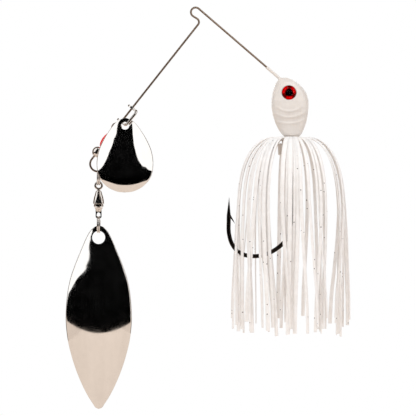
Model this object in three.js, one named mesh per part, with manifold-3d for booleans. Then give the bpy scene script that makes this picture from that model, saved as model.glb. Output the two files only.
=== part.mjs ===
// A safety-pin spinnerbait, hanging from the bend that the line is tied to.
// Millimetres, +Z up, +X from the blades towards the head, +Y away from the side the blades show.
// The origin is the centre of the line tie's bend. The bent wire and the hook lie in the plane Y = 0.
import * as THREE from "three";
import { mergeVertices } from "three/addons/utils/BufferGeometryUtils.js";
import Module from "manifold-3d";

const wasm = await Module();
wasm.setup();

const at = (x, z, y = 0) => new THREE.Vector3(x, y, z);
const X_AXIS = new THREE.Vector3(1, 0, 0);
const Y_AXIS = new THREE.Vector3(0, 1, 0);
const Z_AXIS = new THREE.Vector3(0, 0, 1);
const GAP = 0.3; // around a piece let into its neighbour
const SLIP = 0.1; // between small fitted pieces

// --- driving dimensions ---

const WIRE_R = 0.34;
const TIE_R = 1.56; // bend that the line is tied to
const TIE_OUT_DEG = 49.3; // where the head's arm leaves that bend
const TIE_IN_DEG = 238; // where the bend runs into the blade's arm
const ELBOW_R = 1.3; // return bend above the blade's arm
const ARM_FROM = at(-23.6, -35); // a point of the blade's arm, from which its stations are counted
const ARM = at(-0.62, -0.785).normalize(); // down the blade's arm
const ARM_SIDE = at(0.785, -0.62).normalize(); // square to it, on its lower side
const END_LOOP_R = 2.5;
const END_LOOP_STATION = 17.4;
const END_LOOP_DEG = 268;

const SLEEVE_FROM = at(23.4, -18.1); // paint starts up the wire here
const NOSE = at(27.8, -21.9); // wire meets the head
const SLEEVE_R = 0.65;

const HOOK_R = 0.7;
const HOOK_EYE = at(31.7, -30.6);
const HOOK_EYE_R = 1.75;

const EYE = at(30.8, -26.75);
const EYE_R = 2.35;
const EYE_SOCKET_Y = 3.2; // floor of the socket, from the middle plane
const EYE_FOIL_T = 0.3;
const EYE_DOME_H = 0.85;

const NECK = at(31.8, -42.2); // middle of the neck that carries the skirt
const NECK_R = 2.3;
const COLLAR_R = 3.25;
const COLLAR_H = 2.0;

const BUNDLES = 12;
const SKIRT_AXIS_X = 31.5;

const CLEVIS_R = 0.45;
const CLEVIS_LEAN = 0.334; // share of the clevis's depth that goes to the wire's lower side
const CLEVIS_DEPTH = 6.9;
const CLEVIS_BEND_R = 1.25;
const CLEVIS_TOP_STATION = -4.17;
const CLEVIS_LOW_STATION = 1.61;
const CLEVIS_EAR_R = 1.7;
const CLEVIS_EAR_T = 0.7;
const WIRE_HOLE_R = 0.67; // hole of every piece that turns on the wire

const FRONT_BLADE_HOLE = at(-23.15, -37.8, -5.4);
const FRONT_BLADE_TILT_DEG = 8;

const CHAIN_X = -32.1; // everything under the end loop hangs on this line
const RING_R = 2.65;
const RING_WIRE_R = 0.24;
const RING_PITCH = 0.54; // between a split ring's two turns
const RING_TURNS = 1.92;
const UPPER_RING_Z = -54.45;
const LOWER_RING_Z = -70.2;

const REAR_BLADE_HOLE = at(CHAIN_X, -74.55, 0.2);

// --- shaping tools ---

// Closes a list of rings, each with the same number of points, into one surface with flat ends.
// Seen along the way the rings follow each other, their points run anticlockwise about that way.
function skin(rings) {
  const sides = rings[0].length;
  const last = rings.length - 1;
  const middle = (ring) => ring.reduce((sum, p) => sum.add(p), new THREE.Vector3()).divideScalar(sides);
  const points = [...rings.flat(), middle(rings[0]), middle(rings[last])];
  const start = points.length - 2;
  const end = points.length - 1;
  const faces = [];
  for (let j = 0; j < sides; j++) {
    const k = (j + 1) % sides;
    for (let i = 0; i < last; i++) {
      const near = i * sides;
      const far = near + sides;
      faces.push(near + j, near + k, far + j, near + k, far + k, far + j);
    }
    faces.push(start, k, j, end, last * sides + j, last * sides + k);
  }
  const geometry = new THREE.BufferGeometry().setFromPoints(points);
  geometry.setIndex(faces);
  return geometry;
}

// A closed bar through a list of points. half(share) gives its half width, along the direction
// across, and its half thickness, at a share of its length counted in points.
function bar(points, half, across, sides = 10) {
  const last = points.length - 1;
  return skin(points.map((point, i) => {
    const ahead = points[Math.min(i + 1, last)].clone().sub(points[Math.max(i - 1, 0)]).normalize();
    const side = across.clone().addScaledVector(ahead, -across.dot(ahead)).normalize();
    const up = ahead.clone().cross(side);
    const [wide, thick] = half(i / last);
    return Array.from({ length: sides }, (_, j) => {
      const angle = (j / sides) * 2 * Math.PI;
      return point.clone()
        .addScaledVector(side, wide * Math.cos(angle))
        .addScaledVector(up, thick * Math.sin(angle));
    });
  }));
}

const round = (radius) => () => [radius, radius];

// Points of an arc in the plane Y = 0, at most 12 degrees apart.
function arc(centre, radius, fromDeg, toDeg) {
  const steps = Math.ceil(Math.abs(toDeg - fromDeg) / 12);
  return Array.from({ length: steps + 1 }, (_, i) => {
    const angle = THREE.MathUtils.degToRad(fromDeg + ((toDeg - fromDeg) * i) / steps);
    return at(centre.x + radius * Math.cos(angle), centre.z + radius * Math.sin(angle));
  });
}

// Points of a smooth curve through a few guide points.
function smooth(points, steps) {
  return new THREE.CatmullRomCurve3(points).getSpacedPoints(steps);
}

// A solid turned about the Z axis from a profile of [radius, z] points.
function turned(profile, segments = 24) {
  const points = profile.map(([r, z]) => new THREE.Vector2(r, z));
  return new THREE.LatheGeometry(points, segments).rotateX(Math.PI / 2);
}

// Profile of a tube: outer and inner radius, lower and upper end, closed on itself.
function tubeProfile(inner, outer, low, high) {
  return [[inner, low], [outer, low], [outer, high], [inner, high], [inner, low]];
}

function rod(radius, from, to, segments = 24) {
  const length = from.distanceTo(to);
  const geometry = new THREE.CylinderGeometry(radius, radius, length, segments);
  geometry.applyQuaternion(new THREE.Quaternion().setFromUnitVectors(Y_AXIS, to.clone().sub(from).normalize()));
  return geometry.translate(...from.clone().add(to).divideScalar(2).toArray());
}

// A three.js geometry as a manifold-3d solid.
function solid(geometry) {
  const loose = geometry.index ? geometry.toNonIndexed() : geometry.clone();
  loose.deleteAttribute("normal");
  loose.deleteAttribute("uv");
  const merged = mergeVertices(loose, 1e-4);
  return new wasm.Manifold(new wasm.Mesh({
    numProp: 3,
    vertProperties: merged.attributes.position.array,
    triVerts: new Uint32Array(merged.index.array),
  }));
}

// A manifold-3d solid as a three.js geometry.
function geometryOf(made) {
  const mesh = made.getMesh();
  const geometry = new THREE.BufferGeometry();
  geometry.setAttribute("position", new THREE.BufferAttribute(mesh.vertProperties, 3));
  geometry.setIndex(new THREE.BufferAttribute(mesh.triVerts, 1));
  return geometry;
}

const join = (...geometries) => geometries.map(solid).reduce((sum, next) => sum.add(next));
const cut = (body, ...tools) => tools.map(solid).reduce((rest, tool) => rest.subtract(tool), body);

// --- materials and scene ---

const MATERIALS = {
  springSteel: { color: 0x6f6259, roughness: 0.35, metalness: 1 },
  pearlPaint: { color: 0xf3f1ee, roughness: 0.3, metalness: 0 },
  blackNickel: { color: 0x23252a, roughness: 0.22, metalness: 1 },
  nickel: { color: 0xe6e2dc, roughness: 0.08, metalness: 1 },
  redPlastic: { color: 0xc0121a, roughness: 0.25, metalness: 0 },
  redFoil: { color: 0xb01822, roughness: 0.3, metalness: 0.6 },
  clearResin: { color: 0xf4f4f4, roughness: 0.05, metalness: 0 },
  whiteRubber: { color: 0xefe9e4, roughness: 0.6, metalness: 0 },
  silicone: { color: 0xe8e0dc, roughness: 0.45, metalness: 0 },
};

const part = new THREE.Group();

function piece(name, made, material, group = part) {
  const geometry = made.isBufferGeometry ? made : geometryOf(made);
  const flat = geometry.index ? geometry.toNonIndexed() : geometry;
  flat.computeVertexNormals();
  const mesh = new THREE.Mesh(flat, new THREE.MeshStandardMaterial(MATERIALS[material]));
  mesh.name = name;
  group.add(mesh);
  return mesh;
}

// --- the bent wire ---

const armPoint = (station, side = 0) =>
  ARM_FROM.clone().addScaledVector(ARM, station).addScaledVector(ARM_SIDE, side);

// The return bend touches both the straight that leaves the line tie and the blade's arm.
function elbow() {
  const leave = THREE.MathUtils.degToRad(TIE_IN_DEG);
  const corner = at(TIE_R * Math.cos(leave), TIE_R * Math.sin(leave));
  const way = at(-Math.sin(leave), Math.cos(leave));
  const inward = at(way.z, -way.x);
  const start = corner.clone().addScaledVector(inward, ELBOW_R);
  const reach = (-ELBOW_R - start.sub(ARM_FROM).dot(ARM_SIDE)) / way.dot(ARM_SIDE);
  const centre = corner.clone().addScaledVector(way, reach).addScaledVector(inward, ELBOW_R);
  const degrees = (v) => THREE.MathUtils.radToDeg(Math.atan2(v.z, v.x));
  return arc(centre, ELBOW_R, degrees(inward.clone().negate()), degrees(ARM_SIDE));
}

function endLoop() {
  const centre = armPoint(END_LOOP_STATION, END_LOOP_R);
  const first = THREE.MathUtils.radToDeg(Math.atan2(-ARM_SIDE.z, -ARM_SIDE.x));
  return arc(centre, END_LOOP_R, first, first + END_LOOP_DEG).reverse();
}

// The wire's hidden end runs through the hook's eye inside the head.
const WIRE_IN_HEAD = smooth(
  [NOSE, at(29.2, -23.2), at(29.9, -25.6), at(30, -28.2), at(30.5, -29.9), at(31.7, -30.6), at(32.9, -29.9), at(33.3, -28.2)],
  20,
);

const wirePath = [
  ...endLoop(),
  ...elbow().reverse(),
  ...arc(at(0, 0), TIE_R, TIE_IN_DEG, TIE_OUT_DEG),
  SLEEVE_FROM,
  ...WIRE_IN_HEAD,
];

function wireForm() {
  piece("wire_form", bar(wirePath, round(WIRE_R), Y_AXIS, 10), "springSteel");
}

// --- the hook ---

const HOOK_POINT_FROM = 0.89; // share of the way at which the point starts to taper

const hookPath = [
  at(31.7, HOOK_EYE.z - HOOK_EYE_R),
  at(31.7, -46),
  at(31.7, -55),
  ...smooth([
    at(31.6, -60), at(31.2, -71.5), at(29.9, -75.3), at(26.8, -78.3), at(23, -80.2), at(18.8, -80.75),
    at(14.9, -79.8), at(12.2, -77), at(11, -73), at(10.95, -69), at(11, -65), at(11.1, -61.3),
  ], 44),
];

function hook() {
  const taper = (share) => {
    const left = Math.min(1, (1 - share) / (1 - HOOK_POINT_FROM));
    const radius = HOOK_R * Math.max(0.06, left);
    return [radius, radius];
  };
  const eye = new THREE.TorusGeometry(HOOK_EYE_R, HOOK_R, 10, 24);
  eye.rotateY(Math.PI / 2).translate(HOOK_EYE.x, 0, HOOK_EYE.z);
  const barb = bar([at(11.2, -67.2), at(12.1, -68.5), at(12.95, -69.9)], (share) => {
    const size = 0.42 * (1 - share) + 0.05;
    return [size, size];
  }, Y_AXIS, 6);
  piece("hook", join(bar(hookPath, taper, Y_AXIS, 12), eye, barb), "blackNickel");
}

// --- the head and its eyes ---

// The head from its crown to the end of the skirt keeper: [z, left x, right x, half width in Y].
const HEAD_SECTIONS = [
  [-21.5, 28.2, 30.3, 0.5], [-22.1, 27.45, 32.0, 1.5], [-23.2, 26.75, 33.5, 2.6], [-24.8, 26.1, 35.2, 3.5],
  [-26.8, 25.5, 36.7, 4.1], [-29.3, 25.15, 37.3, 4.4], [-31.5, 25.2, 37.35, 4.4], [-34, 25.6, 37.05, 4.3],
  [-36.6, 26.45, 36.5, 3.9], [-38.8, 27.5, 35.7, 3.4], [-40.2, 28.5, 35.0, 3.0], [-40.9, 29.2, 34.4, 2.7],
  [-41.05, 29.5, 34.1, 2.3], [-43.35, 29.5, 34.1, 2.3],
  [-43.6, 27.2, 34.8, 3.3], [-47.2, 27.4, 34.3, 3.0], [-47.6, 29.7, 33.6, 1.9],
  [-48.4, 29.6, 34.7, 2.2], [-52.4, 30.2, 33.1, 1.4], [-52.9, 30.6, 32.7, 1.1],
];
const HEAD_SIDES = 32;
const HEAD_SQUARENESS = 2.3; // 2 would be an ellipse

function headRing([z, left, right, halfY]) {
  const middle = (left + right) / 2;
  const halfX = (right - left) / 2;
  const bulge = (value) => Math.sign(value) * Math.abs(value) ** (2 / HEAD_SQUARENESS);
  return Array.from({ length: HEAD_SIDES }, (_, j) => {
    const angle = (-j / HEAD_SIDES) * 2 * Math.PI;
    return at(middle + halfX * bulge(Math.cos(angle)), z, halfY * bulge(Math.sin(angle)));
  });
}

function head() {
  const sleeve = rod(SLEEVE_R, SLEEVE_FROM, at(29.4, -23.3), 16);
  const wireWay = bar([at(22, -16.9), ...WIRE_IN_HEAD, at(33.5, -27.6)], round(WIRE_R + SLIP), Y_AXIS, 12);
  const hookWay = rod(HOOK_R + GAP, at(31.7, -31.5), at(31.7, -56), 16);
  const eyeWay = new THREE.TorusGeometry(HOOK_EYE_R, HOOK_R + GAP, 10, 24);
  eyeWay.rotateY(Math.PI / 2).translate(HOOK_EYE.x, 0, HOOK_EYE.z);
  const sockets = [-1, 1].map((side) => {
    const floor = at(EYE.x, EYE.z, side * EYE_SOCKET_Y);
    return rod(EYE_R + SLIP, floor, at(EYE.x, EYE.z, side * 6), 32);
  });
  const body = join(skin(HEAD_SECTIONS.map(headRing)), sleeve);
  piece("head_casting", cut(body, wireWay, hookWay, eyeWay, ...sockets), "pearlPaint");
}

function eye(side, name) {
  const foil = EYE_SOCKET_Y + SLIP;
  const dome = foil + EYE_FOIL_T + SLIP;
  const group = new THREE.Group();
  group.position.set(EYE.x, 0, EYE.z);
  group.rotation.x = side < 0 ? Math.PI / 2 : -Math.PI / 2;
  part.add(group);
  piece(`eye_foil_${name}`, turned([[0, foil], [EYE_R, foil], [EYE_R, foil + EYE_FOIL_T], [0, foil + EYE_FOIL_T]], 32),
    "redFoil", group);
  const profile = [[0, dome], [EYE_R, dome], [EYE_R, dome + 0.2]];
  for (let i = 1; i <= 6; i++) {
    const angle = (i / 6) * (Math.PI / 2);
    profile.push([EYE_R * Math.cos(angle), dome + 0.2 + (EYE_DOME_H - 0.2) * Math.sin(angle)]);
  }
  profile[profile.length - 1][0] = 0;
  piece(`eye_dome_${name}`, turned(profile, 32), "clearResin", group);
}

// --- the skirt ---

function skirtCollar() {
  const low = NECK.z - COLLAR_H / 2;
  const mesh = piece("skirt_collar", turned(tubeProfile(NECK_R + GAP, COLLAR_R, low, low + COLLAR_H), 32), "whiteRubber");
  mesh.position.x = NECK.x;
}

// One bundle of strands, [distance from the skirt's axis, z], out of the collar and down.
const BUNDLE_ROUTE = [
  [3.65, -42.2], [6.3, -41.9], [9.6, -42.6], [12.6, -44.9], [15.4, -49.2], [17.2, -55.5], [17.9, -64],
  [18.1, -75], [18, -92], [17.8, -104.5],
];
const BUNDLE_HALF = [[0.6, 0.4], [2.5, 0.55]]; // half width and half thickness at the collar and when spread
const BUNDLE_SPREAD_BY = 0.2; // share of the way

function skirtBundle(index) {
  const angle = ((index + 0.5) / BUNDLES) * 2 * Math.PI;
  const out = new THREE.Vector3(Math.cos(angle), Math.sin(angle), 0);
  const across = new THREE.Vector3(-Math.sin(angle), Math.cos(angle), 0);
  const route = BUNDLE_ROUTE.map(([r, z]) => out.clone().multiplyScalar(r).setZ(z));
  const half = (share) => {
    const spread = Math.min(1, share / BUNDLE_SPREAD_BY);
    return BUNDLE_HALF[0].map((small, i) => small + (BUNDLE_HALF[1][i] - small) * spread);
  };
  const name = `skirt_bundle_${String(index + 1).padStart(2, "0")}`;
  const mesh = piece(name, bar(smooth(route, 22), half, across, 8), "silicone");
  mesh.position.x = SKIRT_AXIS_X;
}

// --- the blades ---

// A cupped blade, whose hole's centre is the origin. outline holds [distance below the top, half width] guide
// points; the middle stands cup ahead of the rim, towards -Y.
const BLADE_ROWS = 34;
const BLADE_COLUMNS = 12;
const BLADE_T = 0.55;
const CUP_POWER = 1.8; // how fast the cup flattens where the blade narrows

function blade(outline, cup, holeBelowTop, holeR) {
  const widest = Math.max(...outline.map(([, wide]) => wide));
  const rim = smooth(outline.map(([below, wide]) => at(wide, -below)), BLADE_ROWS);
  const depth = (half) => cup * (half / widest) ** CUP_POWER;
  const row = (point) => {
    const half = Math.max(point.x, 0.06);
    const face = (x, y) => at(x, point.z, y - depth(half) * (1 - (x / half) ** 2));
    const columns = Array.from({ length: BLADE_COLUMNS + 1 }, (_, j) => half * (1 - (2 * j) / BLADE_COLUMNS));
    return [
      ...columns.map((x) => face(x, -BLADE_T / 2)),
      ...columns.reverse().map((x) => face(x, BLADE_T / 2)),
    ];
  };
  const hole = rod(holeR, at(0, -holeBelowTop, -8), at(0, -holeBelowTop, 8), 28);
  const holeRow = rim.reduce((best, p) =>
    Math.abs(p.z + holeBelowTop) < Math.abs(best.z + holeBelowTop) ? p : best);
  const made = cut(solid(skin(rim.map(row))), hole);
  return geometryOf(made).translate(0, depth(holeRow.x), holeBelowTop);
}

const FRONT_OUTLINE = [
  [0, 0], [0.35, 1.3], [1.5, 3.1], [4, 5.1], [7.45, 7.2], [11.2, 8.75], [15.4, 9.3], [19.5, 8.6],
  [22.6, 6.2], [24.4, 2.9], [24.8, 0],
];
const REAR_OUTLINE = [
  [0, 0], [0.4, 1.4], [2, 3], [4.5, 4.35], [8.1, 5.9], [13, 7.9], [18, 9.55], [24, 10.6], [31, 10.95],
  [37.5, 10.35], [43.3, 9], [48.5, 7.3], [53, 5.4], [56.5, 3.6], [59, 1.75], [60.8, 0],
];

function frontBlade() {
  const mesh = piece("front_blade", blade(FRONT_OUTLINE, 3.4, 2.8, 1.35), "nickel");
  mesh.position.copy(FRONT_BLADE_HOLE);
  mesh.rotation.x = -THREE.MathUtils.degToRad(FRONT_BLADE_TILT_DEG);
}

function rearBlade() {
  const mesh = piece("rear_blade", blade(REAR_OUTLINE, 3.8, 3.95, 2.15), "nickel");
  mesh.position.copy(REAR_BLADE_HOLE);
}

// --- clevis and beads on the wire ---

function clevis() {
  const out = ARM_SIDE.clone().multiplyScalar(CLEVIS_LEAN)
    .addScaledVector(Y_AXIS, -Math.sqrt(1 - CLEVIS_LEAN ** 2));
  const spot = (station, depth) => armPoint(station).addScaledVector(out, depth);
  const corner = (station, inward) => [0, 1, 2, 3, 4].map((i) => {
    const angle = (i / 4) * (Math.PI / 2);
    return spot(
      station + inward * CLEVIS_BEND_R * (1 - Math.cos(angle)),
      CLEVIS_DEPTH - CLEVIS_BEND_R * (1 - Math.sin(angle)),
    );
  });
  const legStart = CLEVIS_EAR_R - 0.4;
  const strap = [
    spot(CLEVIS_TOP_STATION, legStart),
    ...corner(CLEVIS_TOP_STATION, 1),
    ...corner(CLEVIS_LOW_STATION, -1).reverse(),
    spot(CLEVIS_LOW_STATION, legStart),
  ];
  const ear = (station) =>
    rod(CLEVIS_EAR_R, armPoint(station - CLEVIS_EAR_T / 2), armPoint(station + CLEVIS_EAR_T / 2));
  const body = join(
    bar(strap, round(CLEVIS_R), ARM.clone().cross(out)),
    ear(CLEVIS_TOP_STATION),
    ear(CLEVIS_LOW_STATION),
  );
  piece("front_clevis", cut(body, rod(WIRE_HOLE_R, armPoint(-8), armPoint(6), 16)), "nickel");
}

// A bead is a barrel with a hole: a half ellipse turned about the wire.
function bead(name, station, radius, halfLength, material) {
  const end = halfLength * Math.sqrt(1 - (WIRE_HOLE_R / radius) ** 2);
  const profile = [[WIRE_HOLE_R, -end]];
  for (let i = 1; i < 12; i++) {
    const z = -end + (2 * end * i) / 12;
    profile.push([radius * Math.sqrt(1 - (z / halfLength) ** 2), z]);
  }
  profile.push([WIRE_HOLE_R, end], [WIRE_HOLE_R, -end]);
  const mesh = piece(name, turned(profile), material);
  mesh.position.copy(armPoint(station));
  mesh.quaternion.setFromUnitVectors(Z_AXIS, ARM);
}

// --- split rings and swivel ---

// Two flat turns side by side. The coil steps over between its two ends, where only one turn lies.
function splitRing(name, z) {
  const steps = 72;
  const points = Array.from({ length: steps + 1 }, (_, i) => {
    const turn = (i / steps) * RING_TURNS;
    const over = THREE.MathUtils.smoothstep(turn, RING_TURNS - 1, 1) - 0.5;
    const angle = turn * 2 * Math.PI + Math.PI / 3;
    return at(CHAIN_X + RING_PITCH * over, z + RING_R * Math.cos(angle), RING_R * Math.sin(angle));
  });
  piece(name, bar(points, round(RING_WIRE_R), X_AXIS, 8), "nickel");
}

const SWIVEL_EYE_Z = -57.35;
const SWIVEL_EYE_R = 1.1;
const SWIVEL_WIRE_R = 0.38;
const BARREL_OUTSIDE = [[0.7, -58.98], [0.95, -59.2], [1.3, -60.3], [1.65, -61.4], [1.86, -62.5], [1.9, -63.4]];
const BARREL_WALL = 0.38;
const BARREL_MOUTH_R = 0.54; // round the top eye's stem
const YOKE_HALF = 0.99; // the spindle's flat lower eye
const YOKE_T = 0.56;

function swivel() {
  const group = new THREE.Group();
  group.position.x = CHAIN_X;
  part.add(group);
  const eye = new THREE.TorusGeometry(SWIVEL_EYE_R, SWIVEL_WIRE_R, 10, 24);
  eye.rotateX(Math.PI / 2).translate(0, 0, SWIVEL_EYE_Z);
  const stem = turned([[0, -60.9], [0.72, -60.9], [0.72, -60.6], [0.42, -60.3], [0.42, -58.4], [0, -58.4]], 16);
  piece("swivel_top_eye", join(eye, stem), "nickel", group);

  const inside = BARREL_OUTSIDE.slice(2).map(([r, z]) => [r - BARREL_WALL, z]);
  const mouth = [BARREL_MOUTH_R, BARREL_OUTSIDE[0][1]];
  piece("swivel_barrel", turned([mouth, ...inside, ...BARREL_OUTSIDE.slice().reverse(), mouth]), "nickel", group);

  const cap = [[0.7, -64.4], [1.55, -64.4], [1.62, -64.2], [1.62, -63.5], [1.38, -63.5], [1.38, -63.1],
    [0.7, -63.1], [0.7, -64.4]];
  piece("swivel_cap", turned(cap), "nickel", group);

  const balls = Array.from({ length: 8 }, (_, i) => {
    const angle = (i / 8) * 2 * Math.PI;
    return new THREE.SphereGeometry(0.27, 10, 8).translate(Math.cos(angle), Math.sin(angle), -62.4);
  });
  const cage = new THREE.TorusGeometry(1, 0.1, 6, 24).translate(0, 0, -62.4);
  piece("swivel_bearing", join(cage, ...balls), "nickel", group);

  const spindle = turned([[0, -66.1], [0.75, -66], [0.97, -65.7], [1, -65.4], [1.2, -65], [1.45, -64.6],
    [0.6, -64.55], [0.6, -61.9], [1.1, -61.9], [1.1, -61.6], [0, -61.6]]);
  const link = new THREE.Shape()
    .moveTo(-YOKE_HALF, -65.5)
    .lineTo(-YOKE_HALF, -67.5)
    .bezierCurveTo(-YOKE_HALF, -68.05, -0.6, -68.34, 0, -68.34)
    .bezierCurveTo(0.6, -68.34, YOKE_HALF, -68.05, YOKE_HALF, -67.5)
    .lineTo(YOKE_HALF, -65.5);
  link.holes.push(new THREE.Path().absellipse(0, -67.12, 0.64, 0.86, 0, 2 * Math.PI));
  const plate = new THREE.ExtrudeGeometry(link, { depth: YOKE_T, bevelEnabled: false, curveSegments: 14 });
  plate.translate(0, 0, -YOKE_T / 2).rotateX(Math.PI / 2);
  const way = new THREE.CylinderGeometry(0.64, 0.64, 4, 20).translate(0, 0, -67.12);
  piece("swivel_spindle", cut(join(spindle, plate), way), "nickel", group);
}

wireForm();
hook();
head();
eye(-1, "near");
eye(1, "far");
skirtCollar();
for (let i = 0; i < BUNDLES; i++) skirtBundle(i);
clevis();
frontBlade();
bead("spacer_bead", 4.15, 1.9, 1.9, "nickel");
bead("red_bead", 9.3, 1.6, 3.3, "redPlastic");
bead("metal_bead", 14.3, 1.85, 1.85, "nickel");
splitRing("upper_split_ring", UPPER_RING_Z);
swivel();
splitRing("lower_split_ring", LOWER_RING_Z);
rearBlade();

export default part;
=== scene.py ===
"""A hanging spinnerbait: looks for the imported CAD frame, in metres, in the frame's own axes."""
import math
import random

import bmesh
import bpy
from mathutils import Matrix, Vector


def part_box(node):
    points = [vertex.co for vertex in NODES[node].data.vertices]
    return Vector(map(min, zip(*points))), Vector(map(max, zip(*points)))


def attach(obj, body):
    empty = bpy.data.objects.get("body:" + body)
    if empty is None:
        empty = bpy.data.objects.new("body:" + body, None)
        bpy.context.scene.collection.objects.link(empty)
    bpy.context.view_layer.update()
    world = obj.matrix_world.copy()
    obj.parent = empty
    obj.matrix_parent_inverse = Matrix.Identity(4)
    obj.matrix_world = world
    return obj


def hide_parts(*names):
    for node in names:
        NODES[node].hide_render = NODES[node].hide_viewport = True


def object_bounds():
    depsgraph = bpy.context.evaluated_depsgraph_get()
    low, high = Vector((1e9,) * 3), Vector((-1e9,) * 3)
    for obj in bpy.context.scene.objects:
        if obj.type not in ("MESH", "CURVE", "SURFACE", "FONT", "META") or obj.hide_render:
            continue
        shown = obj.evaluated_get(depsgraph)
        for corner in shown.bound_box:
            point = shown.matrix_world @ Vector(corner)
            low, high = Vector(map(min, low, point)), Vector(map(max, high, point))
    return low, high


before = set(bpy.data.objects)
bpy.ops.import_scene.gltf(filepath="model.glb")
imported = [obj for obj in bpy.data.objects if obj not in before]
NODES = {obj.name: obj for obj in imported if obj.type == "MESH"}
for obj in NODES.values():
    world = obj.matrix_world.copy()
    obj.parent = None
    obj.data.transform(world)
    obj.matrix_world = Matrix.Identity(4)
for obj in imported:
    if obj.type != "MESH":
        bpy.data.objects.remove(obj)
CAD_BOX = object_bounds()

MM = 0.001


def at(x, z, y=0.0):
    """A point in millimetres, given as across, up, and away from the camera."""
    return Vector((x, y, z)) * MM


def centre(node):
    low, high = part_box(node)
    return (low + high) / 2


# --- camera, floor and light ---

VIEW_CENTRE = at(4.1, -64.8)
VIEW_DISTANCE = 0.765
LENS = 200
FLOOR_DROP = 0.03  # below the longest blade's tip
FLOOR_HALF = 0.27
FLOOR_THICK = 0.004
FLOOR_TONE = (0.745, 0.635, 0.55)


def make_camera():
    data = bpy.data.cameras.new("camera")
    data.lens = LENS
    data.sensor_width = 36
    data.clip_start = 0.01
    camera = bpy.data.objects.new("camera", data)
    camera.location = VIEW_CENTRE + Vector((0, -VIEW_DISTANCE, 0))
    camera.rotation_euler = (math.pi / 2, 0, 0)
    bpy.context.scene.collection.objects.link(camera)
    bpy.context.scene.camera = camera


class Nodes:
    """Short calls for building a node tree."""

    def __init__(self, tree):
        self.tree = tree

    def add(self, kind, **settings):
        node = self.tree.nodes.new(kind)
        for name, value in settings.items():
            if name in node.inputs:
                node.inputs[name].default_value = value
            else:
                setattr(node, name, value)
        return node

    def link(self, source, target):
        self.tree.links.new(source, target)

    def math(self, operation, a, b=None):
        node = self.add("ShaderNodeMath", operation=operation)
        for socket, value in zip(node.inputs, (a, b)):
            if isinstance(value, bpy.types.NodeSocket):
                self.link(value, socket)
            elif value is not None:
                socket.default_value = value
        return node.outputs[0]

    def ramp(self, source, *stops, interpolation="LINEAR"):
        node = self.add("ShaderNodeValToRGB")
        ramp = node.color_ramp
        ramp.interpolation = interpolation
        while len(ramp.elements) < len(stops):
            ramp.elements.new(1.0)
        for element, (place, colour) in zip(ramp.elements, stops):
            element.position = place
            element.color = (*colour, 1.0) if isinstance(colour, tuple) else (colour,) * 3 + (1.0,)
        self.link(source, node.inputs[0])
        return node.outputs["Color"]

    def mix(self, factor, a, b, blend="MIX"):
        node = self.add("ShaderNodeMix", data_type="RGBA", blend_type=blend)
        for socket, value in ((node.inputs[0], factor), (node.inputs[6], a), (node.inputs[7], b)):
            if isinstance(value, bpy.types.NodeSocket):
                self.link(value, socket)
            elif isinstance(value, tuple):
                socket.default_value = (*value, 1.0)
            else:
                socket.default_value = value
        return node.outputs[2]


WHITE = (1.0, 1.0, 1.0)
FRONT_GLOW = 1.04  # soft light from the camera's side
BACK_GLOW = 0.86
GLINT_WHITE = (1.24, 1.23, 1.22)  # what polished metal shows of the tent
GLINT_CREAM = (0.78, 0.66, 0.57)
DARK_BAND = (0.47, 0.49, 0.505, 0.52)  # low on the camera's side, in shares of the way from below to above
DARK_SIDES = (0.46, 0.52, 0.84, 0.92)  # the tent's open sides, in shares of the way from front to back
SIDE_TONE = (0.11, 0.075, 0.055)


def make_world():
    """A white tent. It is dark near the horizon in front and at its open sides, which only gloss shows."""
    world = bpy.data.worlds.new("studio")
    bpy.context.scene.world = world
    world.use_nodes = True
    world.node_tree.nodes.clear()
    n = Nodes(world.node_tree)
    place = n.add("ShaderNodeTexCoord")
    parts = n.add("ShaderNodeSeparateXYZ")
    n.link(place.outputs["Generated"], parts.inputs[0])
    height = n.math("ADD", n.math("MULTIPLY", parts.outputs["Z"], 0.5), 0.5)
    depth = n.math("ADD", n.math("MULTIPLY", parts.outputs["Y"], 0.5), 0.5)
    soft = n.ramp(depth, (0.3, FRONT_GLOW), (0.75, BACK_GLOW))
    soft = n.mix(1.0, soft, n.ramp(height, (0.0, 0.7), (0.5, 0.95), (1.0, 1.08)), "MULTIPLY")
    low, low_end, high, high_end = DARK_BAND
    tent = n.ramp(height, (0.47, GLINT_CREAM), (0.5, GLINT_WHITE))
    band = n.ramp(height, (low, 0.0), (low_end, 1.0), (high, 1.0), (high_end, 0.0))
    ahead = n.ramp(depth, (0.42, 1.0), (0.48, 0.0))
    near, near_end, far, far_end = DARK_SIDES
    sides = n.ramp(depth, (near, 0.0), (near_end, 1.0), (far, 1.0), (far_end, 0.0))
    mirrored = n.mix(n.math("MULTIPLY", band, ahead), n.mix(sides, tent, SIDE_TONE), (0.0, 0.0, 0.0))
    rays = n.add("ShaderNodeLightPath")
    seen = n.mix(rays.outputs["Is Glossy Ray"], soft, mirrored)
    seen = n.mix(rays.outputs["Is Camera Ray"], seen, WHITE)
    back = n.add("ShaderNodeBackground")
    n.link(seen, back.inputs["Color"])
    out = n.add("ShaderNodeOutputWorld")
    n.link(back.outputs[0], out.inputs["Surface"])


def box_mesh(name, low, high):
    mesh = bpy.data.meshes.new(name)
    xs, ys, zs = zip(low, high)
    corners = [(x, y, z) for x in xs for y in ys for z in zs]
    faces = [(0, 1, 3, 2), (4, 6, 7, 5), (0, 4, 5, 1), (2, 3, 7, 6), (0, 2, 6, 4), (1, 5, 7, 3)]
    mesh.from_pydata(corners, [], faces)
    thing = bpy.data.objects.new(name, mesh)
    bpy.context.scene.collection.objects.link(thing)
    return thing


def plain(name, colour, roughness=0.8):
    made = bpy.data.materials.new(name)
    made.use_nodes = True
    shader = made.node_tree.nodes["Principled BSDF"]
    shader.inputs["Base Color"].default_value = (*colour, 1.0)
    shader.inputs["Roughness"].default_value = roughness
    shader.inputs["Specular IOR Level"].default_value = 0.0
    return made


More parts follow.
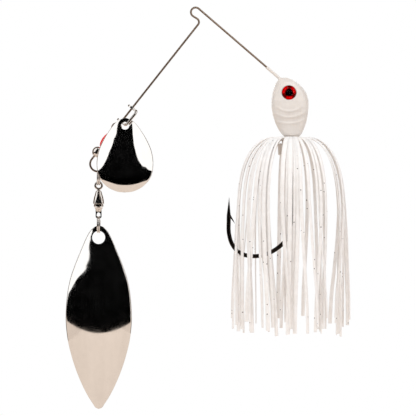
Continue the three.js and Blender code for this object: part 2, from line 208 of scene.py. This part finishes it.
def make_floor():
    top = CAD_BOX[0].z - FLOOR_DROP
    low = (-FLOOR_HALF, -FLOOR_HALF, top - FLOOR_THICK)
    floor = box_mesh("floor", low, (FLOOR_HALF, FLOOR_HALF, top))
    floor.data.materials.append(plain("floor_paper", FLOOR_TONE))


# Dark screens between the lure and the camera, which the blades show as black. Each has a depth, its lowest
# and highest edge, and a function that gives its left and right edge at a height, in millimetres.
SCREEN_STEPS = 60
SCREEN_CROWDING = 1.6  # above 1, the steps lie closer near the lower edge
FOOT_TOP = -76  # under this height the long blade's screen runs right across
FOOT_REACH = 1500


def fading(z, level, reach):
    """One at the level, and less and less above it."""
    return math.exp(-(z - level) / reach)


def stepped(z, level, width):
    """Nothing below the level and one above it."""
    return 1 / (1 + math.exp(-(z - level) / width))


def rear_blade_edges(z):
    if z <= FOOT_TOP:
        return -FOOT_REACH, FOOT_REACH
    notch = 36 * math.exp(-((z + 50) / 18) ** 2)
    left = -88 + notch - 100 * fading(z, -72, 13) - 45 * (1 - stepped(z, -55.2, 0.8))
    right = 34 + 16 * fading(z, 0, 30) + 60 * fading(z, -50, 5)
    return left, right


def front_blade_edges(z):
    left = -48 - 16 * fading(z, -41, 18) - 12 * fading(z, -46, 3) + 7 * stepped(z, -8.5, 0.8)
    right = -7 + 4 * fading(z, -38, 8) + 5 * fading(z, -47, 2)
    return left, right


SCREENS = {
    "rear_blade_screen": (-78, -121, -34, rear_blade_edges),
    "front_blade_screen": (-30, -59.5, 200, front_blade_edges),
}


def make_screen(name, depth, low, high, edges):
    vertices = []
    for i in range(SCREEN_STEPS + 1):
        z = low + (high - low) * (i / SCREEN_STEPS) ** SCREEN_CROWDING
        vertices += [at(x, z, depth) for x in edges(z)]
    faces = [(2 * i, 2 * i + 1, 2 * i + 3, 2 * i + 2) for i in range(SCREEN_STEPS)]
    mesh = bpy.data.meshes.new(name)
    mesh.from_pydata(vertices, [], faces)
    mesh.materials.append(plain(name, (0.0, 0.0, 0.0), 1.0))
    screen = bpy.data.objects.new(name, mesh)
    bpy.context.scene.collection.objects.link(screen)
    for kind in ("camera", "diffuse", "transmission", "shadow", "volume_scatter"):
        setattr(screen, f"visible_{kind}", False)


# Each lamp's place, counted from what the camera looks at, and its power in watts.
LAMPS = {"key": ((-0.35, -0.45, 0.5), 0.8), "fill": ((0.45, -0.4, 0.35), 0.5)}
LAMP_SIZE = 0.14


def make_lamp(name, offset, power):
    data = bpy.data.lights.new(name, "AREA")
    data.shape = "DISK"
    data.size = LAMP_SIZE
    data.energy = power
    lamp = bpy.data.objects.new(name, data)
    lamp.location = VIEW_CENTRE + Vector(offset)
    lamp.visible_glossy = False
    lamp.rotation_euler = (-Vector(offset)).to_track_quat("-Z", "Y").to_euler()
    bpy.context.scene.collection.objects.link(lamp)


# --- materials ---

def material(name, metallic=0.0, roughness=0.4, **sockets):
    made = bpy.data.materials.new(name)
    made.use_nodes = True
    n = Nodes(made.node_tree)
    shader = made.node_tree.nodes["Principled BSDF"]
    shader.inputs["Metallic"].default_value = metallic
    shader.inputs["Roughness"].default_value = roughness
    for socket, value in sockets.items():
        shader.inputs[socket.replace("_", " ")].default_value = value
    place = n.add("ShaderNodeTexCoord")
    return made, n, shader, place.outputs["Object"]


def noise(n, place, per_mm, detail=3.0, roughness=0.5):
    node = n.add("ShaderNodeTexNoise", Scale=per_mm * 1000, Detail=detail, Roughness=roughness)
    n.link(place, node.inputs["Vector"])
    return node.outputs["Fac"]


def bump(n, shader, height, depth_mm, strength=1.0):
    node = n.add("ShaderNodeBump", Strength=strength, Distance=depth_mm * MM)
    n.link(height, node.inputs["Height"])
    n.link(node.outputs["Normal"], shader.inputs["Normal"])


def spring_steel():
    made, n, shader, place = material("spring_steel", 1.0)
    grain = noise(n, place, 2.2, 4)
    base = n.ramp(grain, (0.3, (0.24, 0.17, 0.125)), (0.7, (0.42, 0.325, 0.255)))
    n.link(base, shader.inputs["Base Color"])
    n.link(n.ramp(grain, (0.3, 0.30), (0.7, 0.48)), shader.inputs["Roughness"])
    bump(n, shader, noise(n, place, 6, 2), 0.01)
    return made


def nickel(name, tint, dull=0.04, pits=0.0012):
    made, n, shader, place = material(name, 1.0)
    haze = noise(n, place, 0.35, 5, 0.6)
    drawn = n.add("ShaderNodeMapping", Scale=(1.0, 1.0, 0.08))
    n.link(place, drawn.inputs["Vector"])
    streaks = n.ramp(noise(n, drawn.outputs[0], 0.3, 3), (0.3, 1.0), (0.7, (0.94, 0.935, 0.93)))
    base = n.ramp(haze, (0.35, tint), (0.65, tuple(c * 0.965 for c in tint)))
    n.link(n.mix(1.0, base, streaks, "MULTIPLY"), shader.inputs["Base Color"])
    n.link(n.ramp(haze, (0.3, dull), (0.72, dull + 0.05)), shader.inputs["Roughness"])
    bump(n, shader, noise(n, place, 0.9, 2), pits)
    return made


def black_nickel():
    made, n, shader, place = material("black_nickel", 1.0)
    haze = noise(n, place, 0.8, 4)
    base = n.ramp(haze, (0.3, (0.014, 0.011, 0.009)), (0.7, (0.034, 0.028, 0.024)))
    n.link(base, shader.inputs["Base Color"])
    n.link(n.ramp(haze, (0.3, 0.16), (0.7, 0.30)), shader.inputs["Roughness"])
    bump(n, shader, noise(n, place, 3, 2), 0.006)
    return made


def pearl_paint():
    made, n, shader, place = material("pearl_paint", 0.0, 0.34, Coat_Weight=0.55, Coat_Roughness=0.16)
    shader.inputs["Subsurface Weight"].default_value = 0.12
    shader.inputs["Subsurface Radius"].default_value = (0.0012, 0.001, 0.0008)
    cloud = noise(n, place, 0.22, 4)
    flake = noise(n, place, 9, 2)
    base = n.ramp(cloud, (0.3, (0.68, 0.625, 0.58)), (0.7, (0.76, 0.705, 0.66)))
    glint = n.ramp(flake, (0.62, 0.0), (0.74, 1.0))
    n.link(n.mix(glint, base, (0.88, 0.86, 0.84)), shader.inputs["Base Color"])
    n.link(n.ramp(cloud, (0.3, 0.3), (0.7, 0.42)), shader.inputs["Roughness"])
    bump(n, shader, noise(n, place, 0.7, 3), 0.02)
    return made


def red_plastic():
    made, n, shader, place = material(
        "red_plastic", 0.0, 0.12, Transmission_Weight=0.15, Coat_Weight=0.6, Coat_Roughness=0.04)
    swirl = noise(n, place, 0.6, 3)
    base = n.ramp(swirl, (0.3, (0.78, 0.012, 0.014)), (0.7, (0.95, 0.03, 0.035)))
    n.link(base, shader.inputs["Base Color"])
    n.link(n.ramp(swirl, (0.3, 0.08), (0.7, 0.18)), shader.inputs["Roughness"])
    return made


def white_rubber():
    made, n, shader, place = material("white_rubber", 0.0, 0.6)
    grain = noise(n, place, 1.5, 4)
    n.link(n.ramp(grain, (0.3, (0.78, 0.73, 0.68)), (0.7, (0.88, 0.84, 0.80))), shader.inputs["Base Color"])
    n.link(n.ramp(grain, (0.3, 0.5), (0.7, 0.7)), shader.inputs["Roughness"])
    bump(n, shader, noise(n, place, 5, 3), 0.02)
    return made


EYE_R = 2.35  # radii in millimetres
EYE_PUPIL = 1.3
EYE_IRIS = 2.2


def eye_foil():
    """Red foil round a black pupil and inside a dark rim, with three bright facets painted into its red as
    painted glints, and painted shade between them.
    """
    made, n, shader, place = material("eye_foil", 0.3, 0.3)
    middle = centre("eye_foil_near")
    parts = n.add("ShaderNodeSeparateXYZ")
    n.link(place, parts.inputs[0])
    x = n.math("SUBTRACT", parts.outputs["X"], middle.x)
    z = n.math("SUBTRACT", parts.outputs["Z"], middle.z)
    radius = n.math("SQRT", n.math("ADD", n.math("MULTIPLY", x, x), n.math("MULTIPLY", z, z)))
    share = n.math("DIVIDE", radius, EYE_R * MM)
    # Painted light: three bright lobes and three dark ones round the eye, painted glints and painted shade
    # of the foil.
    turn = n.math("SUBTRACT", n.math("MULTIPLY", n.math("ARCTAN2", z, x), 3.0), math.pi / 2)
    painted_glint = n.math("ADD", n.math("MULTIPLY", n.math("COSINE", turn), 0.5), 0.5)
    painted_glint = n.math("ADD", painted_glint, n.math("MULTIPLY", n.math("SUBTRACT", noise(n, place, 0.9, 2), 0.5), 0.9))
    tone = n.ramp(painted_glint, (0.0, (0.17, 0.0, 0.0)), (0.3, (0.36, 0.0, 0.0)), (0.6, (1.0, 0.001, 0.002)))
    pupil, iris = EYE_PUPIL / EYE_R, EYE_IRIS / EYE_R
    ink = n.ramp(share, (0.0, 0.0), (pupil - 0.03, 0.0), (pupil + 0.03, 1.0),
                 (iris - 0.03, 1.0), (iris + 0.04, 0.2))
    n.link(n.mix(ink, (0.001, 0.0008, 0.001), tone), shader.inputs["Base Color"])
    n.link(n.ramp(painted_glint, (0.2, 0.42), (0.8, 0.24)), shader.inputs["Roughness"])
    shader.inputs["Specular IOR Level"].default_value = 0.0
    return made


def clear_resin():
    made, n, shader, place = material("clear_resin", 0.0, 0.03, Transmission_Weight=1.0, IOR=1.1)
    n.link(n.ramp(noise(n, place, 0.5, 2), (0.3, 0.02), (0.7, 0.05)), shader.inputs["Roughness"])
    shader.inputs["Specular IOR Level"].default_value = 0.0
    return made


FLECK_MM = 1.1  # spacing of the flecks' cells
FLECK_SIZE = 0.17  # share of a cell
FLECK_SHARE = 0.15  # of the cells


def silicone():
    """Milky silicone with fine black flecks moulded in."""
    made, n, shader, place = material(
        "white_silicone", 0.0, 0.42, Subsurface_Weight=0.35, Subsurface_Scale=0.001)
    shader.inputs["Subsurface Radius"].default_value = (1.0, 0.92, 0.86)
    cloud = noise(n, place, 0.5, 3)
    milk = n.ramp(cloud, (0.3, (0.84, 0.81, 0.79)), (0.7, (0.91, 0.885, 0.87)))
    cells = n.add("ShaderNodeTexVoronoi", Scale=1000.0 / FLECK_MM)
    n.link(place, cells.inputs["Vector"])
    near = n.math("LESS_THAN", cells.outputs["Distance"], FLECK_SIZE)
    pick = n.add("ShaderNodeSeparateColor")
    n.link(cells.outputs["Color"], pick.inputs[0])
    chosen = n.math("LESS_THAN", pick.outputs[0], FLECK_SHARE)
    fleck = n.math("MULTIPLY", near, chosen)
    n.link(n.mix(fleck, milk, (0.015, 0.013, 0.014)), shader.inputs["Base Color"])
    n.link(n.ramp(cloud, (0.3, 0.36), (0.7, 0.5)), shader.inputs["Roughness"])
    bump(n, shader, noise(n, place, 2.5, 3), 0.02)
    return made


# --- shaping ---

def new_piece(name, mesh, finish, body, slot, *replaced):
    thing = bpy.data.objects.new(name, mesh)
    bpy.context.scene.collection.objects.link(thing)
    mesh.materials.clear()
    mesh.materials.append(finish)
    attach(thing, body)
    if replaced:
        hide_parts(*replaced)
    return thing


def smooth_shade(mesh, degrees=40):
    """Smooth shading that keeps edges sharper than the angle."""
    made = bmesh.new()
    made.from_mesh(mesh)
    bmesh.ops.remove_doubles(made, verts=made.verts, dist=1e-7)
    for edge in made.edges:
        edge.smooth = len(edge.link_faces) == 2 and edge.calc_face_angle(0) < math.radians(degrees)
    for face in made.faces:
        face.smooth = True
    made.to_mesh(mesh)
    made.free()


def refined(node, finish, body, slot, degrees=40, round_mm=0.0):
    """A piece with the CAD node's own shape, welded, with eased edges and smooth shading."""
    mesh = NODES[node].data.copy()
    smooth_shade(mesh, degrees)
    thing = new_piece(f"{node}_finish", mesh, finish, body, slot, node)
    if round_mm:
        ease = thing.modifiers.new("eased", "BEVEL")
        ease.width = round_mm * MM
        ease.segments = 2
        ease.limit_method = "ANGLE"
        ease.angle_limit = math.radians(degrees)
        ease.harden_normals = False
    return thing


def catmull(points, steps):
    """A smooth curve through the points, with the same number of steps in each stretch."""
    ends = [points[0] * 2 - points[1], *points, points[-1] * 2 - points[-2]]
    curve = []
    for a, b, c, d in zip(ends, ends[1:], ends[2:], ends[3:]):
        for i in range(steps):
            t = i / steps
            curve.append(0.5 * (2 * b + (c - a) * t + (2 * a - 5 * b + 4 * c - d) * t ** 2
                                + (3 * b - a - 3 * c + d) * t ** 3))
    curve.append(points[-1])
    return curve


def skinned(rings, sides):
    """Faces of a closed surface over rings of points, with flat ends."""
    faces = []
    for near in range(0, (rings - 1) * sides, sides):
        far = near + sides
        for j in range(sides):
            k = (j + 1) % sides
            faces.append((near + j, near + k, far + k, far + j))
    faces.append(tuple(reversed(range(sides))))
    faces.append(tuple((rings - 1) * sides + j for j in range(sides)))
    return faces


def sweep(name, points, size, across, sides):
    """A closed bar along points. size(share) gives half width along across and half thickness."""
    last = len(points) - 1
    vertices = []
    for i, point in enumerate(points):
        ahead = (points[min(i + 1, last)] - points[max(i - 1, 0)]).normalized()
        side = across(i / last) if callable(across) else across
        side = (side - ahead * side.dot(ahead)).normalized()
        up = ahead.cross(side)
        wide, thick = size(i / last)
        for j in range(sides):
            angle = 2 * math.pi * j / sides
            vertices.append(point + side * wide * math.cos(angle) + up * thick * math.sin(angle))
    mesh = bpy.data.meshes.new(name)
    mesh.from_pydata(vertices, [], skinned(len(points), sides))
    smooth_shade(mesh, 60)
    return mesh


# --- blades ---

BLADE_T = 0.5
BLADE_COLUMNS = 44
PUNCH_LONG = 20
RIM_ROUND = 0.25
RIM_THIN = 0.05  # square of the rim's thickness, as a share of the blade's
TIP_HALF = 0.04
CUP_POWER = 1.8  # how fast a blade's cup deepens with its width
FRONT_CUP = 3.4
FRONT_HOLE_BELOW = 2.8  # the hole's centre under the blade's top
FRONT_HOLE_R = 1.35
FRONT_HOLE = at(-23.15, -37.8, -5.4)
FRONT_TILT = math.radians(8)
REAR_CUP = 3.8
REAR_HOLE_BELOW = 3.95
REAR_HOLE_R = 2.15
REAR_HOLE = at(-32.1, -74.55, 0.2)
# Half of each blade, as (distance under its top, half width).
FRONT_OUTLINE = [
    (0, 0), (0.35, 1.3), (1.5, 3.1), (4, 5.1), (7.45, 7.2), (11.2, 8.75), (15.4, 9.3), (19.5, 8.6),
    (22.6, 6.2), (24.4, 2.9), (24.8, 0),
]
REAR_OUTLINE = [
    (0, 0), (0.4, 1.4), (2, 3), (4.5, 4.35), (8.1, 5.9), (13, 7.9), (18, 9.55), (24, 10.6), (31, 10.95),
    (37.5, 10.35), (43.3, 9), (48.5, 7.3), (53, 5.4), (56.5, 3.6), (59, 2), (60.3, 1.1), (60.8, 0),
]


def blade_mesh(name, outline, cup, hole_below, hole_r):
    """A cupped sheet whose hole is at the origin, hanging down, with its raised face towards -Y."""
    rim = catmull([Vector((wide, 0, -below)) for below, wide in outline], 12)
    widest = max(wide for _, wide in outline)

    def depth(half):
        return cup * (half / widest) ** CUP_POWER

    hole_row = min(rim, key=lambda p: abs(p.z + hole_below))
    shift = Vector((0, depth(hole_row.x), hole_below))
    rows = []
    for point in rim:
        half = max(point.x, TIP_HALF)
        front, back = [], []
        for j in range(BLADE_COLUMNS + 1):
            v = math.cos(math.pi * j / BLADE_COLUMNS)
            edge = min(1.0, half * (1 - abs(v)) / RIM_ROUND)
            thick = BLADE_T / 2 * math.sqrt(max(RIM_THIN, 1 - (1 - edge) ** 2))
            base = Vector((half * v, -depth(half) * (1 - v * v), point.z)) + shift
            front.append((base + Vector((0, -thick, 0))) * MM)
            back.append((base + Vector((0, thick, 0))) * MM)
        rows.append(front + back[::-1])
    mesh = bpy.data.meshes.new(name)
    mesh.from_pydata([p for row in rows for p in row], [], skinned(len(rows), len(rows[0])))
    return cut_hole(mesh, hole_r)


def cut_hole(mesh, radius):
    """Cuts a round hole along Y through the origin."""
    cutter = bpy.data.meshes.new("cutter")
    made = bmesh.new()
    bmesh.ops.create_cone(made, cap_ends=True, segments=56, radius1=radius * MM, radius2=radius * MM,
                          depth=PUNCH_LONG * MM, matrix=Matrix.Rotation(math.pi / 2, 4, "X"))
    made.to_mesh(cutter)
    made.free()
    body = bpy.data.objects.new("blade_blank", mesh)
    tool = bpy.data.objects.new("hole_punch", cutter)
    for thing in (body, tool):
        bpy.context.scene.collection.objects.link(thing)
    punch = body.modifiers.new("punch", "BOOLEAN")
    punch.operation = "DIFFERENCE"
    punch.object = tool
    punch.solver = "EXACT"
    graph = bpy.context.evaluated_depsgraph_get()
    result = bpy.data.meshes.new_from_object(body.evaluated_get(graph))
    bpy.data.objects.remove(body)
    bpy.data.objects.remove(tool)
    smooth_shade(result, 38)
    return result


def make_blades(finish):
    front = blade_mesh("front_blade_polish", FRONT_OUTLINE, FRONT_CUP, FRONT_HOLE_BELOW, FRONT_HOLE_R)
    front.transform(Matrix.Translation(FRONT_HOLE) @ Matrix.Rotation(-FRONT_TILT, 4, "X"))
    new_piece("front_blade_polish", front, finish, "front_blade", "nickel", "front_blade")
    rear = blade_mesh("rear_blade_polish", REAR_OUTLINE, REAR_CUP, REAR_HOLE_BELOW, REAR_HOLE_R)
    rear.transform(Matrix.Translation(REAR_HOLE))
    new_piece("rear_blade_polish", rear, finish, "rear_blade", "nickel", "rear_blade")


# --- head ---

SLEEVE = (at(23.45, -18.15), at(30, -23.8))
SLEEVE_R = 0.66
PAINT = 0.03  # thickness of the coat over the casting
EYE = at(30.8, -26.75)
GILLS = (6.2, 8.2, 10.2)  # radii of the soft ridges round the eye
GILL_HEIGHT = 0.2
GILL_WIDTH = 0.42
GILL_SPREAD = 0.75
GILLS_END = -39.5  # no ridges on the neck, under this height
SEAM_HEIGHT = 0.07
SEAM_WIDTH = 0.16
SLEEVE_THIN = 0.15  # how much thinner the paint runs out along the wire
SLEEVE_TOP = -23.4  # where that thinning starts, and how much further up it is complete
SLEEVE_EASE = 1.2
SKIN_MM = 0.15
SKIN_PASSES = 6


def relief(point):
    """How far the paint stands off the casting at a point, in millimetres."""
    across, depth, up = (point - EYE) / MM
    far = math.hypot(across, up)
    height = PAINT
    if up < 0 and point.z > GILLS_END * MM:
        fade = max(0.0, 1 - (across / (GILL_SPREAD * far)) ** 2) * min(1, abs(depth) / 2)
        height += GILL_HEIGHT * fade * sum(math.exp(-((far - r) / GILL_WIDTH) ** 2) for r in GILLS)
    height += SEAM_HEIGHT * math.exp(-(depth / SEAM_WIDTH) ** 2)
    out = min(1.0, max(0.0, (point.z / MM - SLEEVE_TOP) / SLEEVE_EASE))
    return height * (1 - out) - SLEEVE_THIN * out


def make_head(finish):
    """The casting under its thick paint: the CAD shape with its edges rounded and its wire hole filled."""
    made = bmesh.new()
    made.from_mesh(NODES["head_casting"].data)
    start, end = SLEEVE
    along = end - start
    turn = along.to_track_quat("Z", "Y").to_matrix().to_4x4()
    place = Matrix.Translation((start + end) / 2) @ turn
    radius = SLEEVE_R * MM
    bmesh.ops.create_cone(made, cap_ends=True, segments=24, radius1=radius, radius2=radius,
                          depth=along.length, matrix=place)
    mesh = bpy.data.meshes.new("head_paint")
    made.to_mesh(mesh)
    made.free()
    blank = bpy.data.objects.new("head_blank", mesh)
    bpy.context.scene.collection.objects.link(blank)
    skin = blank.modifiers.new("skin", "REMESH")
    skin.mode = "VOXEL"
    skin.voxel_size = SKIN_MM * MM
    flow = blank.modifiers.new("flow", "SMOOTH")
    flow.factor = 0.5
    flow.iterations = SKIN_PASSES
    graph = bpy.context.evaluated_depsgraph_get()
    solid = bpy.data.meshes.new_from_object(blank.evaluated_get(graph))
    bpy.data.objects.remove(blank)
    places = [v.co + v.normal * relief(v.co) * MM for v in solid.vertices]
    for vertex, place in zip(solid.vertices, places):
        vertex.co = place
    for polygon in solid.polygons:
        polygon.use_smooth = True
    return new_piece("head_paint", solid, finish, "lure", "pearl_paint", "head_casting")


# --- skirt ---

SKIRT_AXIS = at(31.5, 0)
SECTORS = 12
STRAND_HALF_WIDE = 0.62
STRAND_HALF_THICK = 0.2
STRAND_SIDES = 8
# Each strand's own share of disorder, in millimetres: least and most.
REACH = (-0.5, 0.3)
BOW = (-0.5, 0.5)
OUT_END = (-3.4, 2.0)
SIDE_END = (-3.2, 3.2)
DROP = (-3.6, 2.8)
STRETCH = (0.82, 1.25)  # of its width
TURN = (0.1, 1.0)  # radians of twist, either way
LAYER_STEP = 0.3
# One strand's way from the collar, as (distance from the axis, height).
STRAND_ROUTE = [
    (2.7, -42.3), (4.4, -41.8), (6.6, -41.7), (9.5, -42.5), (12.5, -44.9), (15.1, -49.2), (16.9, -55.5),
    (17.8, -64), (18.1, -75), (18.0, -86), (17.9, -95), (17.8, -104),
]
LEFT_FLARE = 2.2  # how much further out the strands end on the hook point's side
LOOSE_FROM = 0.58  # share of the way from which strands part from their neighbours
# Where each sector's strands hang, in degrees from its middle: they cling together, with gaps between.
SECTOR_LAYS = [
    (-9, -4, 0.5, 4.5, 8), (5, 8.5, 12, 15), (-7, 5, 9, 12.5), (-13, -9.5, -6.5, 9.5, 13),
    (-14, -10, -6, 7, 13), (-13, 0, 4, 14), (-14, -3, 0.5, 10), (-12, -6, 2.3, 6, 10, 14.5),
    (-14, -12, 3.5, 7.5, 12.2), (-13, -10.5, -7.5, 3.8), (-15, -12, -8.8, -5.4), (-12, -7.5, -3, 2, 7),
]


def ease(share, start):
    part = min(1.0, max(0.0, (share - start) / (1 - start)))
    return part * part * (3 - 2 * part)


def make_strand(name, sector, angle, layer, chance, finish):
    out = Vector((math.cos(angle), math.sin(angle), 0))
    round_way = Vector((-math.sin(angle), math.cos(angle), 0))
    reach = chance.uniform(*REACH) + LAYER_STEP * layer
    bow = chance.uniform(*BOW)
    out_end = chance.uniform(*OUT_END) + LEFT_FLARE * max(0.0, -math.cos(angle)) ** 2
    side_end = chance.uniform(*SIDE_END)
    drop = chance.uniform(*DROP)
    stretch = chance.uniform(*STRETCH)
    points = []
    for i, (radius, height) in enumerate(STRAND_ROUTE):
        share = i / (len(STRAND_ROUTE) - 1)
        loose = ease(share, LOOSE_FROM)
        spread = min(1, share * 2.5)
        place = out * (radius + reach * spread + out_end * loose)
        place += round_way * (bow * math.sin(share * math.pi) + side_end * loose)
        place.z = height + 0.24 * layer * (1 - spread) - drop * share ** 3
        points.append((SKIRT_AXIS / MM + place) * MM)
    turn = chance.choice((-1, 1)) * chance.uniform(*TURN)

    def across(share):
        twist = turn * ease(share, 0.3)
        return round_way * math.cos(twist) + out * math.sin(twist)

    def size(share):
        wide = STRAND_HALF_WIDE * stretch * (0.7 + 0.3 * min(1, share * 4))
        return wide * MM, STRAND_HALF_THICK * MM

    mesh = sweep(name, catmull(points, 6), size, across, STRAND_SIDES)
    new_piece(name, mesh, finish, f"skirt_sector_{sector + 1:02d}", "white_silicone",
              f"skirt_bundle_{sector + 1:02d}")


def make_skirt(finish):
    chance = random.Random(11)
    for sector, lays in enumerate(SECTOR_LAYS):
        for i, lay in enumerate(lays):
            angle = math.radians((sector + 0.5) * 360 / SECTORS + lay)
            make_strand(f"strand_{sector + 1:02d}_{i + 1}", sector, angle, i % 3 - 1, chance, finish)


# --- everything ---

bpy.context.scene.view_settings.view_transform = "Standard"
make_camera()
make_world()
make_floor()
for screen, facts in SCREENS.items():
    make_screen(screen, *facts)
for lamp, (offset, power) in LAMPS.items():
    make_lamp(lamp, offset, power)

bright = nickel("bright_nickel", (0.90, 0.885, 0.865))
trim = nickel("trim_nickel", (0.80, 0.765, 0.73), 0.1, 0.003)
wire = spring_steel()
foil = eye_foil()
resin = clear_resin()

make_blades(bright)
make_head(pearl_paint())
make_skirt(silicone())
refined("wire_form", wire, "lure", "spring_steel", 50)
refined("hook", black_nickel(), "lure", "black_nickel", 50)
refined("skirt_collar", white_rubber(), "lure", "white_rubber", 40, 0.2)
for side in ("near", "far"):
    refined(f"eye_foil_{side}", foil, "lure", "red_foil")
    refined(f"eye_dome_{side}", resin, "lure", "clear_resin", 60)
refined("front_clevis", trim, "front_clevis", "nickel", 40, 0.08)
refined("spacer_bead", trim, "spacer_bead", "nickel")
refined("red_bead", red_plastic(), "red_bead", "red_plastic")
refined("metal_bead", trim, "metal_bead", "nickel")
refined("upper_split_ring", trim, "upper_ring", "nickel", 60)
refined("lower_split_ring", trim, "lower_ring", "nickel", 60)
refined("swivel_top_eye", trim, "swivel_body", "nickel", 50)
refined("swivel_barrel", trim, "swivel_body", "nickel", 30, 0.06)
refined("swivel_cap", trim, "swivel_body", "nickel", 30, 0.06)
refined("swivel_bearing", trim, "swivel_body", "nickel", 50)
refined("swivel_spindle", trim, "swivel_spindle", "nickel", 35, 0.08)
